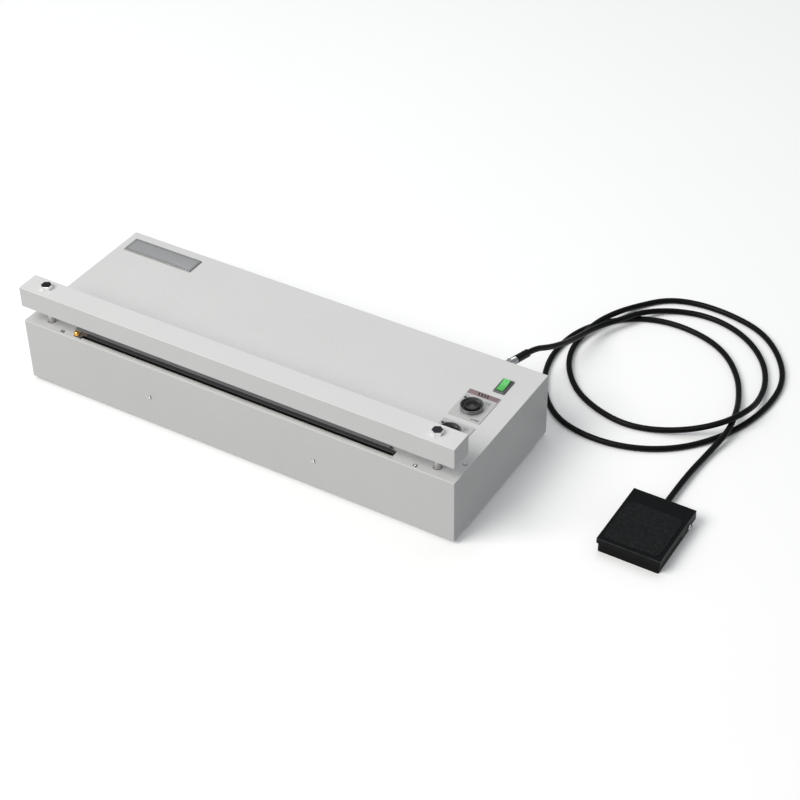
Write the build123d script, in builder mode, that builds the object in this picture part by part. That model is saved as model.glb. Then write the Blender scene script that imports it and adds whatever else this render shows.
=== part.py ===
from build123d import *
import os
from math import pi, radians, tan

# Bench-top impulse heat sealer with an electric foot switch on a cord.
# Millimetres, +Z up, +X along the machine to the right, +Y to the rear, bench at z = 0.
# Everything here is measured from the middle of the machine's own footprint; the written
# pieces are moved by TO_ROW, so their origin is the middle of machine and foot switch.

os.makedirs("parts", exist_ok=True)

# ------------------------------------------------------------------ driving dimensions

BODY_L, BODY_D, BODY_H = 611.0, 225.5, 86.2     # housing, outside
BODY_MID = 0.8                                  # its middle along X
FOOT_H = 5.0                                    # rubber feet under it
SHEET = 1.6                                     # housing steel
BEND_R = 1.0                                    # outside radius of its folds
FLANGE = 26.0                                   # inturned bottom flanges

JAW_D, JAW_H, JAW_GAP = 31.2, 27.5, 21.8        # jaw section and its open gap
JAW_WALL = 2.5
POST_X, POST_IN = 274.7, JAW_D / 2              # post axes: from BODY_MID, from the front
POST_R = 4.75                                   # 3/8 inch rod
BOLT_AF, BOLT_H, BOLT_R = 12.4, 5.4, 3.9        # 5/16 inch hex head

BAR_X = (-219.0, 221.0)                         # seal bar, ends
BAR_IN, BAR_W = 9.3, 5.0                        # from the front face, width
BAR_PROUD = 2.2                                 # top of the covered bar above the housing
PAD_DROP = 3.5                                  # rubber below the jaw
SEAL_LEFT_GAP = 0.1                             # rubber to cover when closed

KNOB_X, KNOB_Y, KNOB_STEP = 258.0, 12.25, 53.0  # heat knob; seal knob is one step forward
KNOB_R, KNOB_H = 14.0, 5.0
DIAL_T = 1.0

SWITCH_X, SWITCH_Y = 270.85, 66.2               # power switch
SWITCH_W, SWITCH_L = 14.7, 27.0
ROCKER_W, ROCKER_L, ROCKER_TILT = 8.6, 19.2, 6.0

PEDAL_X = (449.5, 528.5)                        # treadle, outside
PEDAL_Y = (-42.0, 57.0)
PEDAL_TOP = 20.0
PEDAL_PIN_Y, PEDAL_PIN_Z, PEDAL_PIN_R = 37.0, 10.5, 2.2

TO_ROW = (-112.5, -6.0, 0.0)

CORD_R = 3.75
CORD_ROUTE = [
    # out of the plug's sleeve and down behind the machine
    (252, 162, 71), (254.2, 179.5, 67.4), (260.7, 203, 56), (265.3, 229.5, 45.5),
    (266.5, 261, 32.5), (268.5, 296, 22.5), (274, 328, 15), (287, 351, 12.75),
    (303, 377, 13.5), (317, 403, 6.25),
    # first loop, the middle one
    (340, 420, 3.75), (374, 429, 3.75), (412, 425, 3.75), (450, 406, 3.75), (482, 374, 3.75),
    (501, 336, 3.75), (509, 293, 9.25), (510, 253, 21), (493, 216, 21), (457, 196, 9.25),
    (416, 180, 3.75), (378, 173, 3.75), (335, 184, 3.75), (299, 205, 3.75), (271, 240, 3.75),
    (258, 274, 3.75), (257, 304, 5.25), (264, 333, 12.5), (277, 366, 12.5), (290, 404, 3.75),
    # outer loop
    (318, 437, 3.75), (357, 450, 3.75), (407, 448, 3.75), (456, 433, 3.75), (494, 397, 3.75),
    (519, 351, 3.75), (522, 299, 3.75), (511, 247, 3.75), (487, 198, 3.75), (452, 159, 3.75),
    (406, 135, 3.75), (356, 129, 3.75), (309, 140, 3.75), (274, 171, 3.75), (250, 215, 3.75),
    # inner run to the foot switch
    (240, 262, 3.75), (246, 313, 3.75), (269, 352, 3.75), (303, 381, 3.75), (345, 393, 3.75),
    (393, 387, 3.75), (433, 367, 3.75), (466, 329, 3.75), (485, 287, 4.75), (496, 248, 12.5),
    (501, 213, 12.5), (493, 171, 4.75), (488, 112, 7), (488, 53, 7),
]

# ------------------------------------------------------------------ positions from them

LEFT, RIGHT = BODY_MID - BODY_L / 2, BODY_MID + BODY_L / 2
FRONT, BACK = -BODY_D / 2, BODY_D / 2
FLOOR = FOOT_H                                  # underside of the housing
TOP = FOOT_H + BODY_H                           # top of the housing
PLATE_Z = (FLOOR + SHEET, FLOOR + 2 * SHEET)    # base plate, on the flanges
INSIDE_Z = PLATE_Z[1]
POST_Y = FRONT + POST_IN
JAW_Z = (TOP + JAW_GAP, TOP + JAW_GAP + JAW_H)
JAW_TRAVEL = JAW_GAP - PAD_DROP - BAR_PROUD - SEAL_LEFT_GAP
BAR_Y = (FRONT + BAR_IN, FRONT + BAR_IN + BAR_W)
BAR_MID = (BAR_Y[0] + BAR_Y[1]) / 2
SIDES = (-1, 1)
POSTS = {side: BODY_MID + side * POST_X for side in SIDES}
UP = (Align.CENTER, Align.CENTER, Align.MIN)
TURNS = {"x": (0, 90, 0), "y": (-90, 0, 0), "z": (0, 0, 0)}


# ------------------------------------------------------------------ helpers

def block(x, y, z, mode=Mode.ADD):
    """A box between two corners, each axis given as (low, high)."""
    with Locations(((x[0] + x[1]) / 2, (y[0] + y[1]) / 2, (z[0] + z[1]) / 2)):
        Box(x[1] - x[0], y[1] - y[0], z[1] - z[0], mode=mode)


def bar(start, axis, radius, length, mode=Mode.ADD):
    """A round bar from start along +X, +Y or +Z."""
    with Locations(Location(start, TURNS[axis])):
        Cylinder(radius, length, align=UP, mode=mode)


def around(middle, size):
    """The (low, high) pair of a size about its middle."""
    return (middle - size / 2, middle + size / 2)


def write(piece, name):
    """Move a finished piece to the row's origin, label it and write its STEP."""
    placed = piece.part.moved(Location(TO_ROW))
    placed.label = name
    export_step(placed, f"parts/{name}.step")


def pan_screw(head_r, head_h, shank_r, shank_l):
    """A cross-recess pan-head screw, head up, its bearing face at z = 0."""
    with BuildPart() as screw:
        Cylinder(head_r, head_h, align=UP)
        fillet(screw.edges().group_by(Axis.Z)[-1], head_h * 0.45)
        with Locations((0, 0, head_h)):
            Box(head_r * 1.2, head_r * 0.3, head_h, mode=Mode.SUBTRACT)
            Box(head_r * 0.3, head_r * 1.2, head_h, mode=Mode.SUBTRACT)
        bar((0, 0, -shank_l), "z", shank_r, shank_l)
    return screw.part


def coil_sleeve(radius, wire, height, turns):
    """The outer shape of a coil spring: rings of wire on a thin tube, from z = 0 up."""
    pitch = (height - 2 * wire) / (turns - 1)
    with BuildPart() as coil:
        Cylinder(radius + wire * 0.25, height, align=UP)
        for turn in range(turns):
            with Locations((0, 0, wire + turn * pitch)):
                Torus(radius, wire)
        with Locations((0, 0, -1)):
            Cylinder(radius - wire * 0.6, height + 2, align=UP, mode=Mode.SUBTRACT)
        block((-50, 50), (-50, 50), (-5, 0), Mode.SUBTRACT)
        block((-50, 50), (-50, 50), (height, height + 5), Mode.SUBTRACT)
    return coil.part


# ------------------------------------------------------------------ housing

TOP_SCREWS = [(-248.5, FRONT + 4.6), (252.6, FRONT + 4.8), (-299.6, FRONT + 35.5),
              (299.6, FRONT + 35.5)]
FRONT_SCREW_X, FRONT_SCREW_Z = 118.0, 45.0
SCREW_R, SCREW_L = 1.5, 6.0
EDGE_SCREWS = [(x, y) for x in (-150, 0, 150) for y in around(0, BODY_D - 30)]
FOOT_XY = [(x, y) for x in around(0, 570) for y in around(0, 196)]
FOOT_R, FOOT_SCREW_R, FOOT_HEAD_R, FOOT_HEAD_H = 8.0, 2.0, 3.9, 1.8
SLOT_FRONT, SLOT_BACK = FRONT + 1.8, FRONT + 14.8
GAP_Y = (FRONT + 17.2, FRONT + 20.2)            # narrow gap under the cloth clamp
REST_BACK = FRONT + 6.8                         # rear edge of the film rest
TERMINAL_X, TERMINAL_Y = -227.6, FRONT + 7.6
PLUG_X, PLUG_Z = 247.1, 78.7
SOCKET_R = 6.5
INLET_X, INLET_Z = -235.0, 50.0
AIR_X, AIR_Z, AIR_R = 195.0, 55.0, 5.0
SPINDLE_R = 3.0
SWITCH_CUT = (12.6, 23.6)
KNOBS_Y = (KNOB_Y, KNOB_Y - KNOB_STEP)

with BuildPart() as housing_cover:
    block((LEFT, RIGHT), (FRONT, BACK), (FLOOR, TOP))
    fillet(housing_cover.edges().filter_by(Axis.Z), BEND_R)
    fillet(housing_cover.faces().sort_by(Axis.Z)[-1].edges(), BEND_R)
    block((LEFT + SHEET, RIGHT - SHEET), (FRONT + SHEET, BACK - SHEET),
          (FLOOR - 1, TOP - SHEET), Mode.SUBTRACT)
    for edge, inward in ((FRONT + SHEET, FLANGE), (BACK - SHEET, -FLANGE)):
        block((LEFT + SHEET, RIGHT - SHEET), sorted((edge, edge + inward)),
              (FLOOR, FLOOR + SHEET))
    # seal bar slot, the gap behind it, and the terminal's hole
    block((BAR_X[0] - 2, BAR_X[1] + 1.6), (SLOT_FRONT, SLOT_BACK), (TOP - 3, TOP + 1),
          Mode.SUBTRACT)
    block((BAR_X[0] + 30, BAR_X[1] - 4.2), GAP_Y, (TOP - 3, TOP + 1), Mode.SUBTRACT)
    bar((TERMINAL_X, TERMINAL_Y, TOP - 3), "z", 2.5, 4, Mode.SUBTRACT)
    for side in SIDES:
        bar((POSTS[side], POST_Y, TOP - 3), "z", POST_R + 0.5, 4, Mode.SUBTRACT)
        bar((side * FRONT_SCREW_X, FRONT - 1, FRONT_SCREW_Z), "y", SCREW_R + 0.1, 4,
            Mode.SUBTRACT)
    for x, y in TOP_SCREWS:
        bar((x, y, TOP - 3), "z", SCREW_R + 0.1, 4, Mode.SUBTRACT)
    for y in KNOBS_Y:
        bar((KNOB_X, y, TOP - 3), "z", SPINDLE_R + 2, 4, Mode.SUBTRACT)
    block(around(SWITCH_X, SWITCH_CUT[0]), around(SWITCH_Y, SWITCH_CUT[1]),
          (TOP - 3, TOP + 1), Mode.SUBTRACT)
    # rear wall: foot-switch socket, power inlet and air fitting
    bar((PLUG_X, BACK - 4, PLUG_Z), "y", SOCKET_R, 8, Mode.SUBTRACT)
    block(around(INLET_X, 28), (BACK - 4, BACK + 1), around(INLET_Z, 20), Mode.SUBTRACT)
    bar((AIR_X, BACK - 4, AIR_Z), "y", AIR_R, 8, Mode.SUBTRACT)
    for x, y in EDGE_SCREWS + FOOT_XY:
        bar((x, y, FLOOR - 1), "z", FOOT_SCREW_R + 0.1, 4, Mode.SUBTRACT)
write(housing_cover, "housing_cover")

with BuildPart() as base_plate:
    block(around(BODY_MID, BODY_L - 2 * SHEET - 0.8), around(0, BODY_D - 2 * SHEET - 0.8),
          PLATE_Z)
    for x, y in EDGE_SCREWS + FOOT_XY:
        bar((x, y, FLOOR), "z", FOOT_SCREW_R + 0.1, 6, Mode.SUBTRACT)
    # cooling slots between the transformer and the board
    with GridLocations(12, 40, 8, 2):
        with Locations((-10, 0, PLATE_Z[0])):
            Box(4, 28, 8, mode=Mode.SUBTRACT)
write(base_plate, "base_plate")

with BuildPart() as one_foot:
    with BuildSketch(Plane.XZ):
        with BuildLine():
            Polyline((0, 0), (FOOT_R, 0), (FOOT_R - 0.8, FOOT_H), (0, FOOT_H), close=True)
        make_face()
    revolve(axis=Axis.Z)
    bar((0, 0, 0), "z", FOOT_SCREW_R + 0.1, FOOT_H, Mode.SUBTRACT)
    bar((0, 0, 0), "z", FOOT_HEAD_R + 0.2, 2.6, Mode.SUBTRACT)

with BuildPart() as rubber_feet:
    with Locations([(x, y, 0) for x, y in FOOT_XY]):
        add(one_foot.part)
write(rubber_feet, "rubber_feet")

base_screw = pan_screw(FOOT_HEAD_R, FOOT_HEAD_H, FOOT_SCREW_R, 8.4)
with BuildPart() as base_screws:
    with Locations([Location((x, y, FLOOR), (180, 0, 0)) for x, y in EDGE_SCREWS]):
        add(base_screw)
    with Locations([Location((x, y, 2.6), (180, 0, 0)) for x, y in FOOT_XY]):
        add(base_screw)
write(base_screws, "base_screws")

small_screw = pan_screw(2.4, 1.4, SCREW_R, SCREW_L)
with BuildPart() as top_screws:
    with Locations([(x, y, TOP) for x, y in TOP_SCREWS]):
        add(small_screw)
write(top_screws, "top_screws")

with BuildPart() as front_screws:
    with Locations([Location((side * FRONT_SCREW_X, FRONT, FRONT_SCREW_Z), (90, 0, 0))
                    for side in SIDES]):
        add(small_screw)
write(front_screws, "front_screws")

with BuildPart() as nameplate:
    block((-293.5, -188.3), (71.8, 99.3), (TOP, TOP + 1.2))
    fillet(nameplate.edges().filter_by(Axis.Z), 1.5)
    chamfer(nameplate.faces().sort_by(Axis.Z)[-1].edges(), 0.35)
write(nameplate, "nameplate")

# ------------------------------------------------------------------ seal bar

SUPPORT_Z, SUPPORT_T = TOP - 14.0, 2.5          # the seal bar rests on it
SUPPORT_BACK = FRONT + 26.0
STRIP_T, BAND_T, CLOTH_T = 0.6, 0.2, 0.3
CLOTH_Z = TOP + BAR_PROUD
BAND_Z = CLOTH_Z - CLOTH_T - BAND_T
STRIP_Z = BAND_Z - STRIP_T

with BuildPart() as seal_bar_support:
    support_x = (BAR_X[0] - 4, BAR_X[1] - 0.5)
    front_face = FRONT + SHEET
    block(support_x, (front_face, front_face + SUPPORT_T), (30, SUPPORT_Z))
    block(support_x, (front_face, SUPPORT_BACK), (SUPPORT_Z - SUPPORT_T, SUPPORT_Z))
    block(support_x, (SUPPORT_BACK - SUPPORT_T, SUPPORT_BACK), (INSIDE_Z, SUPPORT_Z))
    block(support_x, (SUPPORT_BACK - SUPPORT_T, SUPPORT_BACK + 12),
          (INSIDE_Z, INSIDE_Z + SUPPORT_T))
    for side in SIDES:
        bar((side * FRONT_SCREW_X, FRONT, FRONT_SCREW_Z), "y", SCREW_R + 0.1, 8,
            Mode.SUBTRACT)
write(seal_bar_support, "seal_bar_support")

with BuildPart() as seal_bar:
    block(BAR_X, BAR_Y, (SUPPORT_Z, STRIP_Z))
write(seal_bar, "seal_bar")

with BuildPart() as insulator_strip:
    block(BAR_X, BAR_Y, (STRIP_Z, BAND_Z))
write(insulator_strip, "insulator_strip")

BAND_W, BAND_END = 4.0, BAR_X[1]
with BuildPart() as heating_band:
    band_y = around(BAR_MID, BAND_W)
    block((BAR_X[0] - 2, BAND_END + BAND_T), band_y, (BAND_Z, BAND_Z + BAND_T))
    block((BAND_END, BAND_END + BAND_T), band_y, (TOP - 30, BAND_Z + BAND_T))
    # tab under the left terminal
    block((TERMINAL_X - 3, BAR_X[0] - 1), (TERMINAL_Y - 3, band_y[1]),
          (BAND_Z, BAND_Z + BAND_T))
    bar((TERMINAL_X, TERMINAL_Y, BAND_Z - 1), "z", 1.7, 3, Mode.SUBTRACT)
    bar((BAND_END - 1, BAR_MID, TOP - 26), "x", 1.7, 3, Mode.SUBTRACT)
write(heating_band, "heating_band")

with BuildPart() as ptfe_cover:
    cloth_x = (BAR_X[0] - 0.5, BAR_X[1] - 0.1)
    block(cloth_x, (BAR_Y[0] - CLOTH_T, BAR_Y[1] + CLOTH_T), (TOP - 7, CLOTH_Z))
    fillet(ptfe_cover.edges().filter_by(Axis.X).group_by(Axis.Z)[-1], 0.6)
    block((cloth_x[0] - 1, cloth_x[1] + 1), (BAR_Y[0], BAR_Y[1]),
          (TOP - 8, CLOTH_Z - CLOTH_T), Mode.SUBTRACT)
    # its front hem lies in the slot, up to the film rest
    block(cloth_x, (REST_BACK + 0.1, BAR_Y[0] - CLOTH_T / 2), (TOP - 3.3, TOP - 3.0))
write(ptfe_cover, "ptfe_cover")

with BuildPart() as cloth_clamp:
    block((-236.7, BAR_X[1] - 8), (SLOT_BACK + 0.1, SLOT_BACK + 5.8), (TOP, TOP + 2.1))
    for groove in (1.9, 3.6):
        block((-240, BAR_X[1]), around(SLOT_BACK + 0.1 + groove, 0.4),
              (TOP + 1.8, TOP + 3), Mode.SUBTRACT)
write(cloth_clamp, "cloth_clamp")

with BuildPart() as film_rest:
    block((BAR_X[0] - 1.5, BAR_X[1] + 1.2), (SLOT_FRONT, REST_BACK), (SUPPORT_Z, TOP - 0.1))
write(film_rest, "film_rest")

BLOCK_Z = (TOP - 34, SUPPORT_Z - SUPPORT_T)     # inner block, under the support
INNER_SCREW_Z = TOP - 26
with BuildPart() as terminal_blocks:
    block((TERMINAL_X - 3.2, BAR_X[0] - 0.6), (TERMINAL_Y - 3.2, BAR_MID + BAND_W / 2),
          (TOP, BAND_Z))
    bar((TERMINAL_X, TERMINAL_Y, TOP - 1), "z", 2.1, 4, Mode.SUBTRACT)
    block((BAND_END - 12, BAND_END), around(BAR_MID, 9.2), BLOCK_Z)
    bar((BAND_END - 9, BAR_MID, INNER_SCREW_Z), "x", 1.7, 10, Mode.SUBTRACT)
write(terminal_blocks, "terminal_blocks")

with BuildPart() as band_terminals:
    # left: a domed nut on a stud through the block; right: a screw into the inner block
    nut_z = BAND_Z + BAND_T
    bar((TERMINAL_X, TERMINAL_Y, nut_z), "z", 3.9, 4.9)
    fillet(band_terminals.edges().group_by(Axis.Z)[-1], 3.2)
    bar((TERMINAL_X, TERMINAL_Y, TOP - 8), "z", 1.6, nut_z - TOP + 8.5)
    bar((BAND_END + BAND_T, BAR_MID, INNER_SCREW_Z), "x", 2.8, 1.8)
    bar((BAND_END - 8, BAR_MID, INNER_SCREW_Z), "x", 1.6, 9)
write(band_terminals, "band_terminals")

# ------------------------------------------------------------------ air cylinders

CYL = (36.0, 27.0)                              # block, along X and Y
CYL_Z = (INSIDE_Z + 4, INSIDE_Z + 64)
BORE_R, PISTON_R, RUN = 10.0, 9.92, 0.05        # RUN: radial clearance of the rod
PISTON_Z = (INSIDE_Z + 42, INSIDE_Z + 52)       # at rest, jaw up
BUSH_L = 10.0
PORT_Z = CYL_Z[1] - BUSH_L - 1
CYL_SCREWS = [(x, y) for x in (-14, 14) for y in (-10, 10)]

for side, name in zip(SIDES, ("cylinder_left", "cylinder_right")):
    with BuildPart() as cylinder:
        block(around(POSTS[side], CYL[0]), around(POST_Y, CYL[1]), CYL_Z)
        fillet(cylinder.edges().filter_by(Axis.Z), 2)
        bar((POSTS[side], POST_Y, CYL_Z[0] - 1), "z", BORE_R, 70, Mode.SUBTRACT)
        bar((POSTS[side], POST_Y, PORT_Z), "y", 2, 20, Mode.SUBTRACT)
        for x, y in CYL_SCREWS:
            bar((POSTS[side] + x, POST_Y + y, CYL_Z[0] - 1), "z", 1.7, 70, Mode.SUBTRACT)
    write(cylinder, name)

with BuildPart() as cylinder_caps:
    for side in SIDES:
        block(around(POSTS[side], CYL[0]), around(POST_Y, CYL[1]), (INSIDE_Z, CYL_Z[0]))
        for x, y in CYL_SCREWS:
            bar((POSTS[side] + x, POST_Y + y, 0), "z", 1.6, 20, Mode.SUBTRACT)
    # room for the ends of the foot screws
    for x, y in FOOT_XY:
        bar((x, y, 0), "z", FOOT_SCREW_R + 0.3, 20, Mode.SUBTRACT)
write(cylinder_caps, "cylinder_caps")

with BuildPart() as rod_bushings:
    for side in SIDES:
        bar((POSTS[side], POST_Y, CYL_Z[1] - BUSH_L), "z", BORE_R - 0.05, BUSH_L)
        bar((POSTS[side], POST_Y, CYL_Z[1]), "z", BORE_R + 1.5, 2)
        bar((POSTS[side], POST_Y, CYL_Z[1] - 20), "z", POST_R + RUN, 30, Mode.SUBTRACT)
write(rod_bushings, "rod_bushings")

cylinder_screw = pan_screw(2.6, 2.0, 1.5, 63.5)
with BuildPart() as cylinder_screws:
    with Locations([(POSTS[side] + x, POST_Y + y, CYL_Z[1])
                    for side in SIDES for x, y in CYL_SCREWS]):
        add(cylinder_screw)
write(cylinder_screws, "cylinder_screws")

return_spring = coil_sleeve(7.5, 0.9, PISTON_Z[0] - CYL_Z[0], 9)
with BuildPart() as return_springs:
    with Locations([(POSTS[side], POST_Y, CYL_Z[0]) for side in SIDES]):
        add(return_spring)
write(return_springs, "return_springs")

# ------------------------------------------------------------------ jaw and what moves with it

with BuildPart() as upper_jaw:
    block((LEFT, RIGHT), (FRONT, FRONT + JAW_D), JAW_Z)
    fillet(upper_jaw.edges().filter_by(Axis.Z), 0.7)
    fillet(upper_jaw.faces().sort_by(Axis.Z)[-1].edges(), 0.7)
    block((LEFT + JAW_WALL, RIGHT - JAW_WALL), (FRONT + JAW_WALL, FRONT + JAW_D - JAW_WALL),
          (JAW_Z[0] - 1, JAW_Z[1] - JAW_WALL), Mode.SUBTRACT)
    for side in SIDES:
        bar((POSTS[side], POST_Y, JAW_Z[1] - 5), "z", BOLT_R + 0.2, 10, Mode.SUBTRACT)
write(upper_jaw, "upper_jaw")

PAD_W, PAD_DEEP = 12.0, 4.0
HOLDER_X = (-240.0, 240.0)
with BuildPart() as pad_holder:
    block(HOLDER_X, (FRONT + JAW_WALL, FRONT + JAW_D - JAW_WALL), (JAW_Z[0], JAW_Z[0] + 12))
    block((HOLDER_X[0] - 1, HOLDER_X[1] + 1), around(BAR_MID, PAD_W),
          (JAW_Z[0] - 1, JAW_Z[0] + PAD_DEEP), Mode.SUBTRACT)
    # pocket over the left terminal's nut
    bar((TERMINAL_X, TERMINAL_Y, JAW_Z[0] - 1), "z", 4.5, PAD_DEEP + 1, Mode.SUBTRACT)
write(pad_holder, "pad_holder")

with BuildPart() as pressure_pad:
    block((BAR_X[0] - 3, BAR_X[1] + 3), around(BAR_MID, PAD_W),
          (JAW_Z[0] - PAD_DROP, JAW_Z[0] + PAD_DEEP))
    fillet(pressure_pad.faces().sort_by(Axis.Z)[0].edges().filter_by(Axis.X), 1.0)
write(pressure_pad, "pressure_pad")

ROD_TOP = JAW_Z[1] - JAW_WALL
with BuildPart() as piston_rods:
    for side in SIDES:
        bar((POSTS[side], POST_Y, PISTON_Z[0]), "z", PISTON_R, PISTON_Z[1] - PISTON_Z[0])
        bar((POSTS[side], POST_Y, PISTON_Z[1]), "z", POST_R, ROD_TOP - PISTON_Z[1])
        bar((POSTS[side], POST_Y, ROD_TOP - 24), "z", BOLT_R + 0.1, 25, Mode.SUBTRACT)
write(piston_rods, "piston_rods")

with BuildPart() as one_bolt:
    with BuildSketch(Plane.XY):
        RegularPolygon(radius=BOLT_AF / 2, side_count=6, major_radius=False, rotation=30)
    extrude(amount=BOLT_H)
    chamfer(one_bolt.faces().sort_by(Axis.Z)[-1].edges(), 0.4)
    bar((0, 0, -22), "z", BOLT_R, 22)

with BuildPart() as jaw_bolts:
    with Locations([(POSTS[side], POST_Y, JAW_Z[1]) for side in SIDES]):
        add(one_bolt.part)
write(jaw_bolts, "jaw_bolts")

# ------------------------------------------------------------------ timers, dials and knobs

TIMER = (40.0, 42.0, 38.0)
DIAL_TOP = TOP + DIAL_T
KNOB_Z = DIAL_TOP + 0.4
DIALS_X = (238.0, 279.6)
DIALS_Y = ((-9.5, 43.5), (-62.7, -18.2))        # the heat dial carries a header band

for name, y in zip(("heat_timer", "seal_timer"), KNOBS_Y):
    with BuildPart() as timer:
        block(around(KNOB_X, TIMER[0]), around(y, TIMER[1]),
              (TOP - SHEET - TIMER[2], TOP - SHEET))
        fillet(timer.edges().filter_by(Axis.Z), 1.5)
        bar((KNOB_X, y, TOP - SHEET), "z", 4.5, SHEET + DIAL_T + 0.2)
        bar((KNOB_X, y, TOP - 14), "z", SPINDLE_R + RUN, 20, Mode.SUBTRACT)
    write(timer, name)

for name, y, plate_y in zip(("heat_dial_plate", "seal_dial_plate"), KNOBS_Y, DIALS_Y):
    with BuildPart() as plate:
        block(DIALS_X, plate_y, (TOP, DIAL_TOP))
        fillet(plate.edges().filter_by(Axis.Z), 0.6)
        bar((KNOB_X, y, TOP - 1), "z", 5, 4, Mode.SUBTRACT)
    write(plate, name)

GRIP_R, GRIP_TOP, MOAT_R, FLUTES = 9.3, KNOB_Z + KNOB_H - 0.4, 13.0, 18
for name, y in zip(("heat_knob", "seal_knob"), KNOBS_Y):
    with BuildPart() as knob:
        with Locations((KNOB_X, y, KNOB_Z)):
            Cylinder(KNOB_R, KNOB_H, align=UP)
        with Locations((KNOB_X, y, KNOB_Z + 1.2)):
            Cylinder(MOAT_R, KNOB_H, align=UP, mode=Mode.SUBTRACT)
            Cylinder(GRIP_R, GRIP_TOP - KNOB_Z - 1.2, align=UP)
            with PolarLocations(GRIP_R + 0.25, FLUTES):
                Cylinder(0.75, KNOB_H, align=UP, mode=Mode.SUBTRACT)
        bar((KNOB_X, y, KNOB_Z - 1), "z", 5.6, 1.8, Mode.SUBTRACT)
        bar((KNOB_X, y, KNOB_Z - 1), "z", SPINDLE_R + RUN, 4.5, Mode.SUBTRACT)
    write(knob, name)

for name, y in zip(("heat_knob_cap", "seal_knob_cap"), KNOBS_Y):
    with BuildPart() as cap:
        with Locations((KNOB_X, y, GRIP_TOP)):
            Cone(7.6, 0.5, 1.1, align=UP)
    write(cap, name)

for name, y in zip(("heat_spindle", "seal_spindle"), KNOBS_Y):
    with BuildPart() as spindle:
        bar((KNOB_X, y, TOP - 13), "z", SPINDLE_R, KNOB_Z + 3.4 - TOP + 13)
    write(spindle, name)

# ------------------------------------------------------------------ power switch

BEZEL_H, PIVOT_Z = 2.0, TOP - 0.5
ROCKER_SLOT = (9.2, 20.2)
with BuildPart() as switch_bezel:
    block(around(SWITCH_X, SWITCH_W), around(SWITCH_Y, SWITCH_L), (TOP, TOP + BEZEL_H))
    fillet(switch_bezel.edges().filter_by(Axis.Z), 0.8)
    chamfer(switch_bezel.faces().sort_by(Axis.Z)[-1].edges(), 0.5)
    block(around(SWITCH_X, SWITCH_CUT[0] - 0.2), around(SWITCH_Y, SWITCH_CUT[1] - 0.2),
          (TOP - 20, TOP))
    block(around(SWITCH_X, ROCKER_SLOT[0]), around(SWITCH_Y, ROCKER_SLOT[1]),
          (TOP - 17, TOP + 5), Mode.SUBTRACT)
    for x in (-3, 3):
        block(around(SWITCH_X + x, 0.8), around(SWITCH_Y, 6.3), (TOP - 29, TOP - 20))
write(switch_bezel, "switch_bezel")

with BuildPart() as rocker_flat:
    with BuildSketch(Plane.YZ):
        half = ROCKER_L / 2
        with BuildLine():
            Polyline((-half, 5.4), (-half, -2.2), (-half + 4, -4.5), (half - 4, -4.5),
                     (half, -2.2), (half, 5.4))
            ThreePointArc((-half, 5.4), (0, 4.1), (half, 5.4))
        make_face()
    extrude(amount=ROCKER_W / 2, both=True)
    fillet(rocker_flat.faces().sort_by(Axis.Z)[-1].edges(), 0.35)

with BuildPart() as rocker:
    with Locations(Location((SWITCH_X, SWITCH_Y, PIVOT_Z), (ROCKER_TILT, 0, 0))):
        add(rocker_flat.part)
write(rocker, "rocker")

# ------------------------------------------------------------------ air valve and its tubes

VALVE_X, VALVE_Y, VALVE_Z = 150.0, (25.0, 65.0), (INSIDE_Z, INSIDE_Z + 22)
PORT_FACE = POST_Y + CYL[1] / 2
TUBE_R = 3.0

with BuildPart() as solenoid_valve:
    block(around(VALVE_X, 30), VALVE_Y, VALVE_Z)
    chamfer(solenoid_valve.edges().filter_by(Axis.Z), 1.5)
write(solenoid_valve, "solenoid_valve")

with BuildPart() as solenoid_coil:
    block(around(VALVE_X, 25), around(45, 26), (VALVE_Z[1], VALVE_Z[1] + 30))
    fillet(solenoid_coil.edges().filter_by(Axis.Z), 3)
    bar((VALVE_X, 45, VALVE_Z[1] + 30), "z", 5, 3)
write(solenoid_coil, "solenoid_coil")

with BuildPart() as air_fitting:
    bar((AIR_X, BACK - 12, AIR_Z), "y", AIR_R - 0.1, 24)
    with BuildSketch(Plane.XZ.offset(-BACK - 4)):
        with Locations((AIR_X, AIR_Z)):
            RegularPolygon(radius=7, side_count=6, major_radius=False)
    extrude(amount=4)
    bar((AIR_X, BACK + 8, AIR_Z), "y", TUBE_R + 0.2, 10, Mode.SUBTRACT)
write(air_fitting, "air_fitting")


def tube(points, bend):
    """A round tube of TUBE_R along straight runs joined by equal bends."""
    with BuildPart() as run:
        with BuildLine() as path:
            FilletPolyline(*points, radius=bend)
        with BuildSketch(Plane(origin=path.line @ 0, z_dir=path.line % 0)):
            Circle(TUBE_R)
        sweep(path=path.line)
    return run.part


TUBE_Z = INSIDE_Z + 12
with BuildPart() as air_tubes:
    add(tube([(AIR_X, BACK - 12, AIR_Z), (AIR_X, 84, AIR_Z), (157, 84, TUBE_Z),
              (157, VALVE_Y[1], TUBE_Z)], 10))
    add(tube([(157, VALVE_Y[0], TUBE_Z), (157, -73, TUBE_Z), (POSTS[1], -73, PORT_Z),
              (POSTS[1], PORT_FACE, PORT_Z)], 9))
    add(tube([(143, VALVE_Y[0], TUBE_Z), (143, -60, TUBE_Z), (POSTS[-1], -60, PORT_Z),
              (POSTS[-1], PORT_FACE, PORT_Z)], 15))
write(air_tubes, "air_tubes")

# ------------------------------------------------------------------ transformer and board

COIL_X, COIL_Y = -108.0, 35.0
FRAME_T = 1.8
CORE_Z = (INSIDE_Z + FRAME_T, INSIDE_Z + FRAME_T + 70)
WINDOW_Z = (CORE_Z[0] + 14, CORE_Z[1] - 14)

with BuildPart() as transformer_core:
    block(around(COIL_X, 84), around(COIL_Y, 50), CORE_Z)
    for x in (-21, 21):
        block(around(COIL_X + x, 14), around(COIL_Y, 60), WINDOW_Z, Mode.SUBTRACT)
write(transformer_core, "transformer_core")

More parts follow.
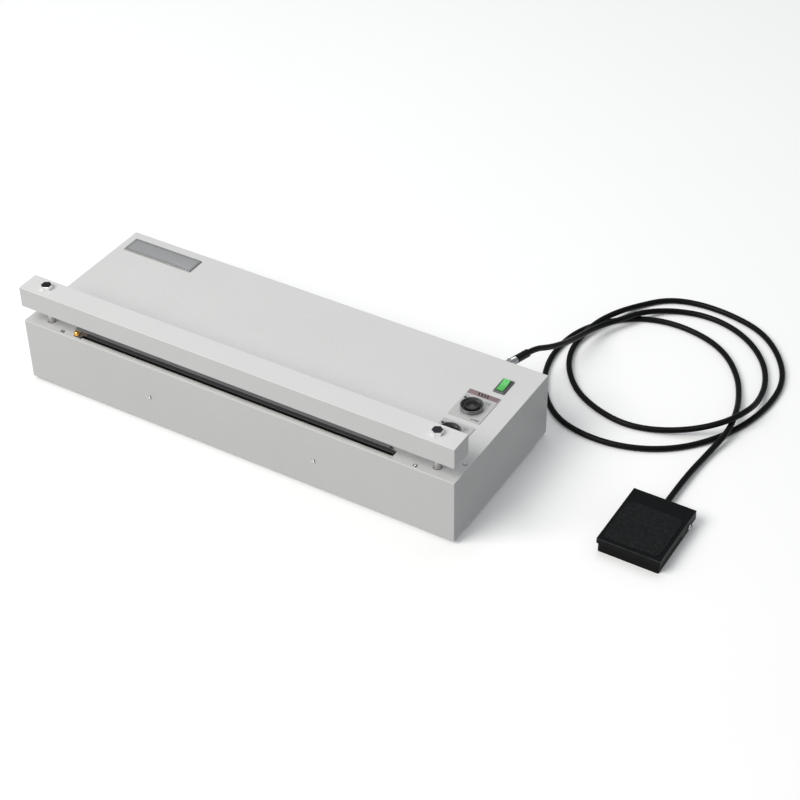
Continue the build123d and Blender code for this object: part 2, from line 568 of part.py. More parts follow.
with BuildPart() as transformer_winding:
    block(around(COIL_X, 55), around(COIL_Y, 74), (WINDOW_Z[0] + 0.5, WINDOW_Z[1] - 0.5))
    fillet(transformer_winding.edges().filter_by(Axis.Z), 8)
    block(around(COIL_X, 28.4), around(COIL_Y, 50.4), WINDOW_Z, Mode.SUBTRACT)
write(transformer_winding, "transformer_winding")

with BuildPart() as transformer_frame:
    block(around(COIL_X, 112), around(COIL_Y, 30), (INSIDE_Z, CORE_Z[0]))
    block(around(COIL_X, 84 + 2 * FRAME_T), around(COIL_Y, 30),
          (INSIDE_Z, CORE_Z[1] + FRAME_T))
    block(around(COIL_X, 84), around(COIL_Y, 40), CORE_Z, Mode.SUBTRACT)
    for x in (-50, 50):
        bar((COIL_X + x, COIL_Y, 0), "z", 2.1, 20, Mode.SUBTRACT)
write(transformer_frame, "transformer_frame")

BOARD_X, BOARD_Y, BOARD_Z = 50.0, 20.0, INSIDE_Z + 10
BOARD_HOLES = [(x, y) for x in around(BOARD_X, 82) for y in around(BOARD_Y, 52)]
with BuildPart() as control_board:
    block(around(BOARD_X, 90), around(BOARD_Y, 60), (BOARD_Z, BOARD_Z + 1.6))
    # relay, terminal strip and two capacitors, soldered down
    block(around(BOARD_X - 22, 28), around(BOARD_Y + 8, 12), (BOARD_Z + 1.6, BOARD_Z + 24))
    block(around(BOARD_X, 50), around(BOARD_Y - 22, 9), (BOARD_Z + 1.6, BOARD_Z + 12))
    for x in (14, 30):
        bar((BOARD_X + x, BOARD_Y + 8, BOARD_Z + 1.6), "z", 5, 18)
    for x, y in BOARD_HOLES:
        bar((x, y, BOARD_Z - 1), "z", 1.6, 4, Mode.SUBTRACT)
write(control_board, "control_board")

with BuildPart() as board_standoffs:
    for x, y in BOARD_HOLES:
        bar((x, y, INSIDE_Z), "z", 3, BOARD_Z - INSIDE_Z)
        bar((x, y, BOARD_Z), "z", 1.5, 4)
write(board_standoffs, "board_standoffs")

with BuildPart() as inlet_socket:
    block(around(INLET_X, 48), (BACK, BACK + 3), around(INLET_Z, 24))
    fillet(inlet_socket.edges().filter_by(Axis.Y), 4)
    block(around(INLET_X, 27.6), (BACK - 24, BACK), around(INLET_Z, 19.6))
    block(around(INLET_X, 24.5), (BACK - 15, BACK + 5), around(INLET_Z, 16.5), Mode.SUBTRACT)
    for x, z in ((-7, -2), (0, 2), (7, -2)):
        block(around(INLET_X + x, 2), (BACK - 15, BACK - 1), around(INLET_Z + z, 4))
write(inlet_socket, "inlet_socket")

# ------------------------------------------------------------------ foot-switch plug and cord

SLEEVE_L, SLEEVE_R, SPRING_L = 25.5, 5.2, 12.2
cord_start, cord_next = Vector(*CORD_ROUTE[0]), Vector(*CORD_ROUTE[1])
plug_dir = (cord_next - cord_start).normalized()
sleeve_start = cord_start - plug_dir * SLEEVE_L
spring_start = sleeve_start - plug_dir * SPRING_L

with BuildPart() as foot_socket:
    bar((PLUG_X, BACK - 16, PLUG_Z), "y", SOCKET_R - 0.1, 16)
    bar((PLUG_X, BACK, PLUG_Z), "y", SOCKET_R + 1.7, 2.4)
    chamfer(foot_socket.faces().sort_by(Axis.Y)[-1].edges(), 0.6)
write(foot_socket, "foot_socket")

with BuildPart() as foot_plug:
    bar((PLUG_X, BACK + 2.4, PLUG_Z), "y", 5.6, 20)
    split(bisect_by=Plane(origin=spring_start, z_dir=plug_dir), keep=Keep.BOTTOM)
write(foot_plug, "foot_plug")

plug_coil = coil_sleeve(4.4, 0.8, SPRING_L, 5)
with BuildPart() as plug_spring:
    with Locations(Plane(origin=spring_start, z_dir=plug_dir)):
        add(plug_coil)
write(plug_spring, "plug_spring")

with BuildPart() as plug_sleeve:
    with Locations(Plane(origin=sleeve_start, z_dir=plug_dir)):
        Cylinder(SLEEVE_R, SLEEVE_L, align=UP)
        with Locations((0, 0, 1 - SPRING_L)):
            Cylinder(3.4, SPRING_L, align=UP)
write(plug_sleeve, "plug_sleeve")

corners = [Vector(*point) for point in CORD_ROUTE]
bend_radii = []
for before, corner, after in zip(corners, corners[1:], corners[2:]):
    arrive, leave = corner - before, after - corner
    half_turn = radians(arrive.get_angle(leave)) / 2
    bend_radii.append(0.45 * min(arrive.length, leave.length) / tan(half_turn))
print("cord bend radii:", [round(radius) for radius in bend_radii])

with BuildPart() as foot_cord:
    with BuildLine() as cord_path:
        FilletPolyline(*CORD_ROUTE, radius=bend_radii)
    with BuildSketch(Plane(origin=cord_start, z_dir=plug_dir)):
        Circle(CORD_R)
    sweep(path=cord_path.line)
write(foot_cord, "foot_cord")
cord_length = sum(edge.length for edge in cord_path.edges())
print("cord length", round(cord_length), "volume ratio",
      round(foot_cord.part.volume / (pi * CORD_R**2 * cord_length), 4))

# ------------------------------------------------------------------ foot switch

BASE_X, BASE_Y, BASE_H, BASE_WALL = (451.0, 527.0), (-40.3, 53.0), 13.8, 2.4
TREADLE_WALL, TREADLE_SKIN = 1.2, 1.5
SKIRT_Z, EAR_Z, EAR_Y = 13.0, 7.0, 22.0
SWITCH_AT = (488.0, -7.0)
SPRING_AT = (488.0, -25.0)

with BuildPart() as pedal_base:
    block(BASE_X, BASE_Y, (0, BASE_H))
    fillet(pedal_base.edges().filter_by(Axis.Z), 2)
    block((BASE_X[0] + BASE_WALL, BASE_X[1] - BASE_WALL),
          (BASE_Y[0] + BASE_WALL, BASE_Y[1] - BASE_WALL), (BASE_WALL, BASE_H + 1),
          Mode.SUBTRACT)
    bar((BASE_X[0] - 1, PEDAL_PIN_Y, PEDAL_PIN_Z), "x", PEDAL_PIN_R + 0.02, 80,
        Mode.SUBTRACT)
write(pedal_base, "pedal_base")

with BuildPart() as treadle:
    with BuildSketch(Plane.YZ.offset(PEDAL_X[0])):
        with BuildLine():
            Polyline((PEDAL_Y[0], SKIRT_Z), (PEDAL_Y[0], PEDAL_TOP), (PEDAL_Y[1], PEDAL_TOP),
                     (PEDAL_Y[1], EAR_Z), (EAR_Y, EAR_Z), (EAR_Y - 8, SKIRT_Z), close=True)
        make_face()
    extrude(amount=PEDAL_X[1] - PEDAL_X[0])
    fillet(treadle.edges().filter_by(Axis.Z).sort_by(Axis.Y)[:2], 1.5)
    fillet(treadle.faces().sort_by(Axis.Z)[-1].edges(), 0.9)
    block((PEDAL_X[0] + TREADLE_WALL, PEDAL_X[1] - TREADLE_WALL),
          (PEDAL_Y[0] + TREADLE_WALL, PEDAL_Y[1] + 1), (0, PEDAL_TOP - TREADLE_SKIN),
          Mode.SUBTRACT)
    bar((PEDAL_X[0] - 1, PEDAL_PIN_Y, PEDAL_PIN_Z), "x", PEDAL_PIN_R + RUN, 90,
        Mode.SUBTRACT)
    # nub that presses the switch
    bar((*SWITCH_AT, PEDAL_TOP - TREADLE_SKIN - 3.6), "z", 3, 4)
write(treadle, "treadle")

with BuildPart() as treadle_pad:
    block((454, 524), (-36, 34), (PEDAL_TOP, PEDAL_TOP + 0.8))
    fillet(treadle_pad.edges().filter_by(Axis.Z), 7)
write(treadle_pad, "treadle_pad")

with BuildPart() as pedal_pin:
    bar((PEDAL_X[0], PEDAL_PIN_Y, PEDAL_PIN_Z), "x", PEDAL_PIN_R, PEDAL_X[1] - PEDAL_X[0])
    for x in (PEDAL_X[0] - 1.3, PEDAL_X[1] + 0.3):
        bar((x, PEDAL_PIN_Y, PEDAL_PIN_Z), "x", PEDAL_PIN_R + 1, 1)
    bar((PEDAL_X[0] - 0.5, PEDAL_PIN_Y, PEDAL_PIN_Z), "x", PEDAL_PIN_R,
        PEDAL_X[1] - PEDAL_X[0] + 1)
write(pedal_pin, "pedal_pin")

with BuildPart() as pedal_switch:
    block(around(SWITCH_AT[0], 20), around(SWITCH_AT[1], 7), (BASE_WALL, BASE_WALL + 9))
    bar((*SWITCH_AT, BASE_WALL + 9), "z", 1.5, 1.4)
write(pedal_switch, "pedal_switch")

pedal_coil = coil_sleeve(4.5, 0.6, PEDAL_TOP - TREADLE_SKIN - BASE_WALL, 6)
with BuildPart() as pedal_spring:
    with Locations((*SPRING_AT, BASE_WALL)):
        add(pedal_coil)
write(pedal_spring, "pedal_spring")
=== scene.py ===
"""Looks for the impulse heat sealer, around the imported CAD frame: camera, cord, materials,
small pieces and light. Metres, in the row frame. Millimetre sizes are written as n * MM."""

import math

import bpy
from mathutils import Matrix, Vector, noise


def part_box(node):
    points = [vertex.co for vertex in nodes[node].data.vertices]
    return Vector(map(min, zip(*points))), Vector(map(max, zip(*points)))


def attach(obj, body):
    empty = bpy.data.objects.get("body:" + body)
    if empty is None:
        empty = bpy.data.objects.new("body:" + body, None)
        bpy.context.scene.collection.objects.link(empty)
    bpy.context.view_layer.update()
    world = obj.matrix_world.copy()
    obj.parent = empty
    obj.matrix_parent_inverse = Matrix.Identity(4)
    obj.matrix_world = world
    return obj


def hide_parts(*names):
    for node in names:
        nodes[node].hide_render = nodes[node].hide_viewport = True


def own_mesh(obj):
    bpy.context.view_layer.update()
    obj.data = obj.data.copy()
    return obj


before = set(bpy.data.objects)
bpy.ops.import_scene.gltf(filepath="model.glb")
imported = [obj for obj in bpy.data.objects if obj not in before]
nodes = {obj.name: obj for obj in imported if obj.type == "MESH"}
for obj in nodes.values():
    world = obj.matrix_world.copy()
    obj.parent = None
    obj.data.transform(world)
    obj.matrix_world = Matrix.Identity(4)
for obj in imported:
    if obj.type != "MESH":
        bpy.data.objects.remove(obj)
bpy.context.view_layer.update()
scene = bpy.context.scene
scene.view_settings.view_transform = "Standard"
MM = 0.001

# ------------------------------------------------------------------ camera

camera_data = bpy.data.cameras.new("camera")
camera_data.lens, camera_data.sensor_width = 84.87, 36
camera_data.shift_x, camera_data.shift_y = -0.0524, -0.042
camera = bpy.data.objects.new("camera", camera_data)
camera.location = (0.9660, -1.48185, 1.4721)
camera.rotation_euler = (math.radians(52.18), 0, math.radians(30.04))
scene.collection.objects.link(camera)
scene.camera = camera

# ------------------------------------------------------------------ foot-switch cord

CORD_ROUTE = [
    # out of the plug's sleeve and down behind the machine
    (0.1395, 0.1560, 0.07100), (0.1417, 0.1735, 0.06740), (0.1482, 0.1970, 0.05600),
    (0.1528, 0.2235, 0.04550), (0.1540, 0.2550, 0.03250), (0.1560, 0.2900, 0.02250),
    (0.1615, 0.3220, 0.01500), (0.1745, 0.3450, 0.01275), (0.1905, 0.3710, 0.01350),
    (0.2045, 0.3970, 0.00625),
    # first loop, the middle one
    (0.2275, 0.4140, 0.00375), (0.2615, 0.4230, 0.00375), (0.2995, 0.4190, 0.00375),
    (0.3375, 0.4000, 0.00375), (0.3695, 0.3680, 0.00375), (0.3885, 0.3300, 0.00375),
    (0.3965, 0.2870, 0.00925), (0.3975, 0.2470, 0.02100), (0.3805, 0.2100, 0.02100),
    (0.3445, 0.1900, 0.00925), (0.3035, 0.1740, 0.00375), (0.2655, 0.1670, 0.00375),
    (0.2225, 0.1780, 0.00375), (0.1865, 0.1990, 0.00375), (0.1585, 0.2340, 0.00375),
    (0.1455, 0.2680, 0.00375), (0.1445, 0.2980, 0.00525), (0.1515, 0.3270, 0.01250),
    (0.1645, 0.3600, 0.01250), (0.1775, 0.3980, 0.00375),
    # outer loop
    (0.2055, 0.4310, 0.00375), (0.2445, 0.4440, 0.00375), (0.2945, 0.4420, 0.00375),
    (0.3435, 0.4270, 0.00375), (0.3815, 0.3910, 0.00375), (0.4065, 0.3450, 0.00375),
    (0.4095, 0.2930, 0.00375), (0.3985, 0.2410, 0.00375), (0.3745, 0.1920, 0.00375),
    (0.3395, 0.1530, 0.00375), (0.2935, 0.1290, 0.00375), (0.2435, 0.1230, 0.00375),
    (0.1965, 0.1340, 0.00375), (0.1615, 0.1650, 0.00375), (0.1375, 0.2090, 0.00375),
    # inner run to the foot switch
    (0.1275, 0.2560, 0.00375), (0.1335, 0.3070, 0.00375), (0.1565, 0.3460, 0.00375),
    (0.1905, 0.3750, 0.00375), (0.2325, 0.3870, 0.00375), (0.2805, 0.3810, 0.00375),
    (0.3205, 0.3610, 0.00375), (0.3535, 0.3230, 0.00375), (0.3725, 0.2810, 0.00475),
    (0.3835, 0.2420, 0.01250), (0.3885, 0.2070, 0.01250), (0.3805, 0.1650, 0.00475),
    (0.3755, 0.1060, 0.00700), (0.3755, 0.0470, 0.00700),
]
CORD_D = 7.5 * MM

cord_curve = bpy.data.curves.new("cord_line", "CURVE")
cord_curve.dimensions = "3D"
spline = cord_curve.splines.new("NURBS")
spline.points.add(len(CORD_ROUTE) - 1)
for control, place in zip(spline.points, CORD_ROUTE):
    control.co = (*place, 1)
spline.order_u = 3
spline.use_endpoint_u = True
cord_curve.resolution_u = 10
cord_curve.bevel_depth = CORD_D / 2
cord_curve.bevel_resolution = 6
cord_curve.use_fill_caps = True
foot_cord = bpy.data.objects.new("foot_switch_cord", cord_curve)
scene.collection.objects.link(foot_cord)

# ------------------------------------------------------------------ places read from the frame


def middle(node):
    """The middle of a CAD node's box."""
    low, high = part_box(node)
    return (low + high) / 2


# ------------------------------------------------------------------ materials

class Shader:
    """A Principled material built up from procedural nodes."""

    def __init__(self, name, **sockets):
        self.material = bpy.data.materials.new(name)
        self.material.use_nodes = True
        self.tree = self.material.node_tree
        self.bsdf = next(n for n in self.tree.nodes if n.type == "BSDF_PRINCIPLED")
        for key, value in sockets.items():
            self.bsdf.inputs[key.replace("_", " ")].default_value = value
        self.place = self.add("TexCoord", out="Object")

    def add(self, kind, inputs=(), out=0, **settings):
        node = self.tree.nodes.new("ShaderNode" + kind)
        for key, value in settings.items():
            setattr(node, key, value)
        for key, value in dict(inputs).items():
            self.feed(node.inputs[key], value)
        return node.outputs[out]

    def feed(self, socket, value):
        if isinstance(value, bpy.types.NodeSocket):
            self.tree.links.new(value, socket)
        else:
            socket.default_value = value

    def stretched(self, x, y, z):
        """Object coordinates, per metre, scaled along each axis."""
        return self.add("VectorMath", {0: self.place, 1: (x, y, z)}, operation="MULTIPLY")

    def noise(self, scale, detail=2.0, vector=None):
        return self.add("TexNoise", {"Vector": vector or self.place, "Scale": scale,
                                     "Detail": detail, "Roughness": 0.55})

    def spots(self, scale):
        """Distance to the nearest of scattered points, 0 at each."""
        return self.add("TexVoronoi", {"Vector": self.place, "Scale": scale}, out="Distance")

    def wave(self, scale, axis, distortion):
        return self.add("TexWave", {"Vector": self.place, "Scale": scale,
                                    "Distortion": distortion, "Detail": 1.0},
                        wave_type="BANDS", bands_direction=axis)

    def radius(self, axis):
        """Distance from a vertical axis."""
        flat = self.add("VectorMath", {0: self.place, 1: (axis.x, axis.y, 0)},
                        operation="SUBTRACT")
        flat = self.add("VectorMath", {0: flat, 1: (1, 1, 0)}, operation="MULTIPLY")
        return self.add("VectorMath", {0: flat}, out="Value", operation="LENGTH")

    def facing(self, axis):
        """How far the surface faces along an axis, -1 to 1."""
        return self.add("SeparateXYZ", {0: self.add("NewGeometry", out="Normal")}, out=axis)

    def math(self, operation, a, b=0.0):
        return self.add("Math", {0: a, 1: b}, operation=operation)

    def remap(self, value, low, high, to_low, to_high):
        return self.add("MapRange", {"Value": value, "From Min": low, "From Max": high,
                                     "To Min": to_low, "To Max": to_high})

    def blend(self, factor, a, b):
        """Mix of two colour sockets or tuples."""
        node = self.tree.nodes.new("ShaderNodeMix")
        node.data_type = "RGBA"
        self.feed(node.inputs[0], factor)
        for index, value in ((6, a), (7, b)):
            self.feed(node.inputs[index],
                      (*value, 1) if isinstance(value, tuple) and len(value) == 3 else value)
        return node.outputs[2]

    def bump(self, height, distance, strength=1.0):
        """Adds a height to the surface; later calls stack on earlier ones."""
        inputs = {"Height": height, "Distance": distance, "Strength": strength}
        normal = self.bsdf.inputs["Normal"]
        if normal.is_linked:
            inputs["Normal"] = normal.links[0].from_socket
        self.feed(normal, self.add("Bump", inputs))
        return self

    def colour(self, socket):
        self.feed(self.bsdf.inputs["Base Color"], socket)
        return self

    def rough(self, socket):
        self.feed(self.bsdf.inputs["Roughness"], socket)
        return self


def tint(rgb, factor):
    return tuple(min(1.0, channel * factor) for channel in rgb)


def powder_coat(name, rgb, grain):
    """Sprayed and baked paint: orange peel, a finer grain, faint cloudiness, a few dust specks."""
    s = Shader(name, Specular_IOR_Level=0.42)
    cloud = s.remap(s.noise(11, 3), 0.3, 0.7, 0, 1)
    fine = s.remap(s.noise(850, 2), 0.35, 0.65, 0, 1)
    tone = s.blend(cloud, tint(rgb, 0.985), tint(rgb, 1.012))
    tone = s.blend(s.math("MULTIPLY", fine, 0.16), tone, tint(rgb, 0.90))
    speck = s.remap(s.spots(95), 0.035, 0.05, 1, 0)
    keep = s.remap(s.noise(31, 1), 0.60, 0.63, 0, 0.45)
    s.colour(s.blend(s.math("MULTIPLY", speck, keep), tone, tint(rgb, 0.62)))
    s.rough(s.remap(s.noise(420, 2), 0.3, 0.7, 0.40, 0.52))
    s.bump(s.noise(330, 2), grain * MM).bump(fine, grain * 0.28 * MM)
    return s.material


def steel(name, rgb, low, high, grain=(1, 1, 1), scale=900, depth=0.01):
    """Bare or plated metal with a directional grain."""
    s = Shader(name, Metallic=1.0)
    lines = s.noise(scale, 3, s.stretched(*grain))
    patch = s.noise(45, 3)
    s.colour(s.blend(patch, tint(rgb, 0.90), tint(rgb, 1.06)))
    s.rough(s.remap(s.math("ADD", lines, patch), 0.6, 1.4, low, high))
    s.bump(lines, depth * MM)
    return s.material


def turned(name, rgb, low, high, axis, pitch=0.22, depth=0.012):
    """Lathe-turned metal: fine rings round a vertical axis."""
    s = Shader(name, Metallic=1.0, Anisotropic=0.85)
    s.feed(s.bsdf.inputs["Tangent"], s.add("Tangent", direction_type="RADIAL", axis="Z"))
    rings = s.add("TexNoise", {"W": s.radius(axis), "Scale": 1000 / pitch, "Detail": 2.0},
                  noise_dimensions="1D")
    s.colour(s.blend(rings, tint(rgb, 0.80), tint(rgb, 1.12)))
    s.rough(s.remap(rings, 0.3, 0.7, low, high))
    s.bump(rings, depth * MM)
    return s.material


def moulded(name, rgb, low, high, grain=600, depth=0.015, **sockets):
    """Moulded plastic or rubber: fine grain, slightly cloudy tone and wiped-on sheen."""
    s = Shader(name, **sockets)
    fine = s.noise(grain, 2)
    patch = s.noise(38, 3)
    s.colour(s.blend(patch, tint(rgb, 0.82), tint(rgb, 1.20)))
    s.rough(s.remap(s.math("ADD", fine, patch), 0.6, 1.4, low, high))
    s.bump(fine, depth * MM)
    return s.material


def woven(name, rgb, pitch, depth, gap, low=0.45, high=0.65, painted_shade_below=None, **sockets):
    """A plain weave along X and Y, painted black as shade below a height if one is given."""
    s = Shader(name, **sockets)
    bands = 1 / (2 * pitch * MM)
    threads = s.math("MAXIMUM", s.wave(bands, "X", 0.25), s.wave(bands, "Y", 0.25))
    patch = s.remap(s.noise(70, 3), 0.35, 0.65, 0, 1)
    tone = s.blend(threads, tint(rgb, gap), rgb)
    tone = s.blend(s.math("MULTIPLY", patch, 0.35), tone, tint(rgb, 1.35))
    # painted shade: the weave turns black below the given height
    if painted_shade_below:
        height = s.add("SeparateXYZ", {0: s.place}, out="Z")
        above_painted_shade = s.remap(height, painted_shade_below - 1.0 * MM, painted_shade_below, 0, 1)
        tone = s.blend(above_painted_shade, (0.002, 0.002, 0.002), tone)
    s.colour(tone)
    s.rough(s.remap(patch, 0, 1, low, high))
    s.bump(threads, depth * MM)
    return s.material


def knob_plastic(name, axis):
    """Black knob whose outer skirt is a clear smoky ring."""
    s = Shader(name, Coat_Weight=0.7, Coat_Roughness=0.06)
    skirt = s.remap(s.radius(axis), 11.5 * MM, 12.8 * MM, 0, 1)
    patch = s.noise(60, 3)
    smoke = s.blend(patch, (0.090, 0.091, 0.096), (0.190, 0.191, 0.197))
    s.colour(s.blend(skirt, s.blend(patch, (0.007, 0.007, 0.008), (0.014, 0.014, 0.015)), smoke))
    s.rough(s.remap(s.math("ADD", patch, s.noise(300, 2)), 0.6, 1.4, 0.10, 0.22))
    s.bump(s.noise(300, 2), 0.004 * MM)
    return s.material


case_paint = powder_coat("case_paint", (0.675, 0.676, 0.670), 0.22)
jaw_paint = powder_coat("jaw_paint", (0.70, 0.70, 0.695), 0.10)
zinc = steel("zinc_plate", (0.60, 0.61, 0.62), 0.28, 0.46, (1, 6, 6), 240, 0.004)
chrome = steel("chrome", (0.58, 0.58, 0.60), 0.18, 0.30, (1, 1, 1), 1500, 0.002)
screw_zinc = steel("screw_zinc", (0.74, 0.74, 0.75), 0.14, 0.28, (1, 1, 1), 1800, 0.006)
machined = steel("machined_aluminium", (0.70, 0.70, 0.71), 0.30, 0.45, (0.15, 1, 1), 1100, 0.006)
ground = steel("ground_steel", (0.56, 0.55, 0.54), 0.24, 0.38, (0.05, 0.05, 2.0), 1500, 0.006)
spring_wire = steel("spring_wire", (0.50, 0.50, 0.51), 0.26, 0.40, (1, 1, 1), 1600, 0.004)
lamination = steel("laminations", (0.22, 0.20, 0.19), 0.40, 0.60, (0.1, 14, 0.1), 160, 0.05)
valve_metal = steel("valve_metal", (0.64, 0.64, 0.66), 0.35, 0.50, (1, 1, 1), 1200, 0.02)
film_brass = steel("brass", (0.84, 0.46, 0.13), 0.08, 0.20, (1, 1, 1), 1300, 0.003)
nichrome = steel("nichrome", (0.50, 0.47, 0.45), 0.25, 0.42, (0.05, 1, 1), 1800, 0.003)

feet_rubber = moulded("feet_rubber", (0.022, 0.022, 0.023), 0.60, 0.80, 700, 0.02)
black_plastic = moulded("black_plastic", (0.018, 0.018, 0.019), 0.38, 0.52, 900, 0.012)
bezel_plastic = moulded("bezel_plastic", (0.085, 0.088, 0.092), 0.34, 0.48, 900, 0.014)
grey_plastic = moulded("grey_plastic", (0.24, 0.245, 0.25), 0.35, 0.50, 800, 0.012)
clamp_grey = moulded("clamp_grey", (0.30, 0.305, 0.315), 0.30, 0.46, 800, 0.012)
white_plastic = moulded("white_plastic", (0.60, 0.597, 0.585), 0.38, 0.52, 500, 0.02)
gloss_black = moulded("gloss_black", (0.012, 0.012, 0.013), 0.08, 0.20, 300, 0.004,
                      Coat_Weight=0.6, Coat_Roughness=0.05)
coil_wrap = moulded("coil_wrap", (0.55, 0.30, 0.07), 0.40, 0.60, 220, 0.05)
tube_nylon = moulded("tube_nylon", (0.05, 0.16, 0.48), 0.22, 0.34, 300, 0.006)
pad_silicone = moulded("pad_silicone", (0.40, 0.24, 0.20), 0.50, 0.66, 500, 0.02)
board_green = moulded("board_green", (0.03, 0.17, 0.08), 0.30, 0.48, 420, 0.03)
sleeve_plastic = moulded("sleeve_plastic", (0.003, 0.003, 0.0034), 0.30, 0.42, 1100, 0.010,
                         Specular_IOR_Level=0.16)
base_coat = moulded("base_coat", (0.0025, 0.0025, 0.0028), 0.42, 0.55, 1000, 0.020,
                    Specular_IOR_Level=0.10)
# the cloth is painted black as shade where it runs down into the slot, below its top
cloth = woven("coated_cloth", (0.055, 0.055, 0.058), 0.55, 0.03, 0.45,
              painted_shade_below=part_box("ptfe_cover")[1].z - 0.2 * MM, Specular_IOR_Level=0.25)
tape = woven("glass_tape", (0.52, 0.48, 0.38), 0.9, 0.06, 0.6)

CAD_LOOKS = {
    "housing_cover": case_paint, "base_plate": zinc, "rubber_feet": feet_rubber,
    "base_screws": screw_zinc,
    "seal_bar_support": zinc, "seal_bar": machined, "insulator_strip": tape,
    "heating_band": nichrome, "ptfe_cover": cloth, "cloth_clamp": clamp_grey,
    "film_rest": white_plastic, "terminal_blocks": black_plastic,
    "band_terminals": film_brass, "cylinder_left": machined, "cylinder_right": machined,
    "cylinder_caps": machined, "rod_bushings": film_brass, "cylinder_screws": screw_zinc,
    "upper_jaw": jaw_paint, "pad_holder": machined, "pressure_pad": pad_silicone,
    "piston_rods": ground, "heat_timer": black_plastic, "seal_timer": black_plastic,
    "heat_spindle": film_brass, "seal_spindle": film_brass, "switch_bezel": bezel_plastic,
    "solenoid_valve": valve_metal, "solenoid_coil": gloss_black, "air_fitting": film_brass,
    "air_tubes": tube_nylon, "transformer_core": lamination,
    "transformer_winding": coil_wrap, "transformer_frame": zinc,
    "control_board": board_green, "board_standoffs": white_plastic,
    "inlet_socket": black_plastic, "foot_socket": chrome, "foot_plug": chrome,
    "plug_sleeve": sleeve_plastic, "pedal_base": base_coat, "pedal_pin": screw_zinc,
    "pedal_switch": grey_plastic,
}


def dress(node, material):
    """Gives a carried-over CAD node its material."""
    for slot in nodes[node].material_slots:
        slot.material = material


for node_name, look in CAD_LOOKS.items():
    dress(node_name, look)

for dial in ("heat", "seal"):
    axis = middle(dial + "_knob")
    dress(dial + "_knob_cap", turned(dial + "_spun_cap", (0.055, 0.052, 0.052), 0.14, 0.26, axis))
    dress(dial + "_knob", knob_plastic(dial + "_knob_plastic", axis))

# bolts: bright flanks, tops painted black as a dark reflection
s = Shader("bolt_steel", Metallic=1.0)
upward = s.remap(s.facing("Z"), 0.90, 0.97, 0, 1)
forged = s.noise(700, 3)
painted_dark_reflection = s.blend(forged, (0.030, 0.030, 0.034), (0.065, 0.065, 0.075))
s.colour(s.blend(upward, (0.95, 0.95, 0.96), painted_dark_reflection))
s.rough(s.remap(s.math("ADD", forged, upward), 0.3, 1.7, 0.26, 0.50))
s.bump(forged, 0.008 * MM)
dress("jaw_bolts", s.material)

# screws in view: bright flat faces, with painted shade darker on rims and in recesses
for group in ("top_screws", "front_screws"):
    s = Shader(group + "_plated", Metallic=1.0)
    # painted shade: faces that are not flat take the dark colour
    flat = s.math("MAXIMUM", s.math("ABSOLUTE", s.facing("Z")), s.math("ABSOLUTE", s.facing("Y")))
    flat = s.remap(flat, 0.80, 0.95, 0, 1)
    s.colour(s.blend(flat, (0.16, 0.16, 0.165), (0.82, 0.82, 0.83)))
    s.rough(s.remap(s.noise(1500, 3), 0.3, 0.7, 0.20, 0.34))
    s.bump(s.noise(1800, 2), 0.006 * MM)
    dress(group, s.material)

# rocker: glossy translucent green, with a faint painted glow from emission
s = Shader("rocker_green", Coat_Weight=0.4, Coat_Roughness=0.12, Subsurface_Weight=0.25,
           Subsurface_Scale=2 * MM, Emission_Strength=0.03)
s.bsdf.inputs["Emission Color"].default_value = (0.10, 0.62, 0.14, 1)
s.colour(s.blend(s.noise(160, 2), (0.075, 0.48, 0.095), (0.105, 0.57, 0.125)))
s.rough(s.remap(s.noise(500, 2), 0.3, 0.7, 0.22, 0.34))
s.bump(s.noise(700, 2), 0.006 * MM)
dress("rocker", s.material)

# dial plates: satin anodised, grained across
s = Shader("dial_plate", Metallic=0.40)
grained = s.noise(260, 3, s.stretched(1, 9, 9))
s.colour(s.blend(grained, (0.54, 0.53, 0.525), (0.66, 0.65, 0.645)))
s.rough(s.remap(grained, 0.3, 0.7, 0.36, 0.50))
s.bump(grained, 0.004 * MM)
dial_metal = s.material
dress("heat_dial_plate", dial_metal)
dress("seal_dial_plate", dial_metal)

# nameplate: darker rim, brushed along its length
s = Shader("nameplate_rim", Metallic=0.6)
streak = s.noise(210, 3, s.stretched(0.6, 12, 12))
s.colour(s.blend(streak, (0.22, 0.22, 0.225), (0.31, 0.305, 0.30)))
s.rough(s.remap(streak, 0.3, 0.7, 0.34, 0.46))
s.bump(streak, 0.002 * MM)
dress("nameplate", s.material)

s = Shader("nameplate_brushed", Metallic=0.5)
streak = s.noise(190, 4, s.stretched(0.5, 16, 16))
s.colour(s.blend(streak, (0.37, 0.37, 0.375), (0.60, 0.60, 0.605)))
s.rough(s.remap(streak, 0.3, 0.7, 0.26, 0.44))
s.bump(streak, 0.010 * MM)
brushed_face = s.material

# cord jacket: satin, faintly mottled, with the ripple of an extruded jacket
s = Shader("cord_jacket", Specular_IOR_Level=0.12)
ripple = s.noise(110, 2)
s.colour(s.blend(s.noise(60, 3), (0.0022, 0.0024, 0.0028), (0.0042, 0.0046, 0.0052)))
s.rough(s.remap(s.noise(900, 2), 0.3, 0.7, 0.34, 0.48))
s.bump(ripple, 0.05 * MM).bump(s.noise(1200, 2), 0.010 * MM)
cord_jacket = s.material

# treadle: near-black coat, with a painted highlight lighter along its rounded edges
s = Shader("treadle_coat", Specular_IOR_Level=0.10)
upward = s.facing("Z")
edge = s.math("MULTIPLY", s.math("MULTIPLY", upward, s.math("SUBTRACT", 1.0, upward)), 4.0)
painted_edge_highlight = s.remap(s.math("MULTIPLY", edge, s.noise(90, 3)), 0.10, 0.60, 0, 1)
s.colour(s.blend(painted_edge_highlight, s.blend(s.noise(38, 3), (0.0022, 0.0025, 0.0030), (0.0038, 0.0042, 0.0048)),
                 (0.060, 0.062, 0.065)))
s.rough(s.remap(s.noise(1000, 2), 0.3, 0.7, 0.34, 0.46))
s.bump(s.noise(1000, 2), 0.016 * MM)
dress("treadle", s.material)

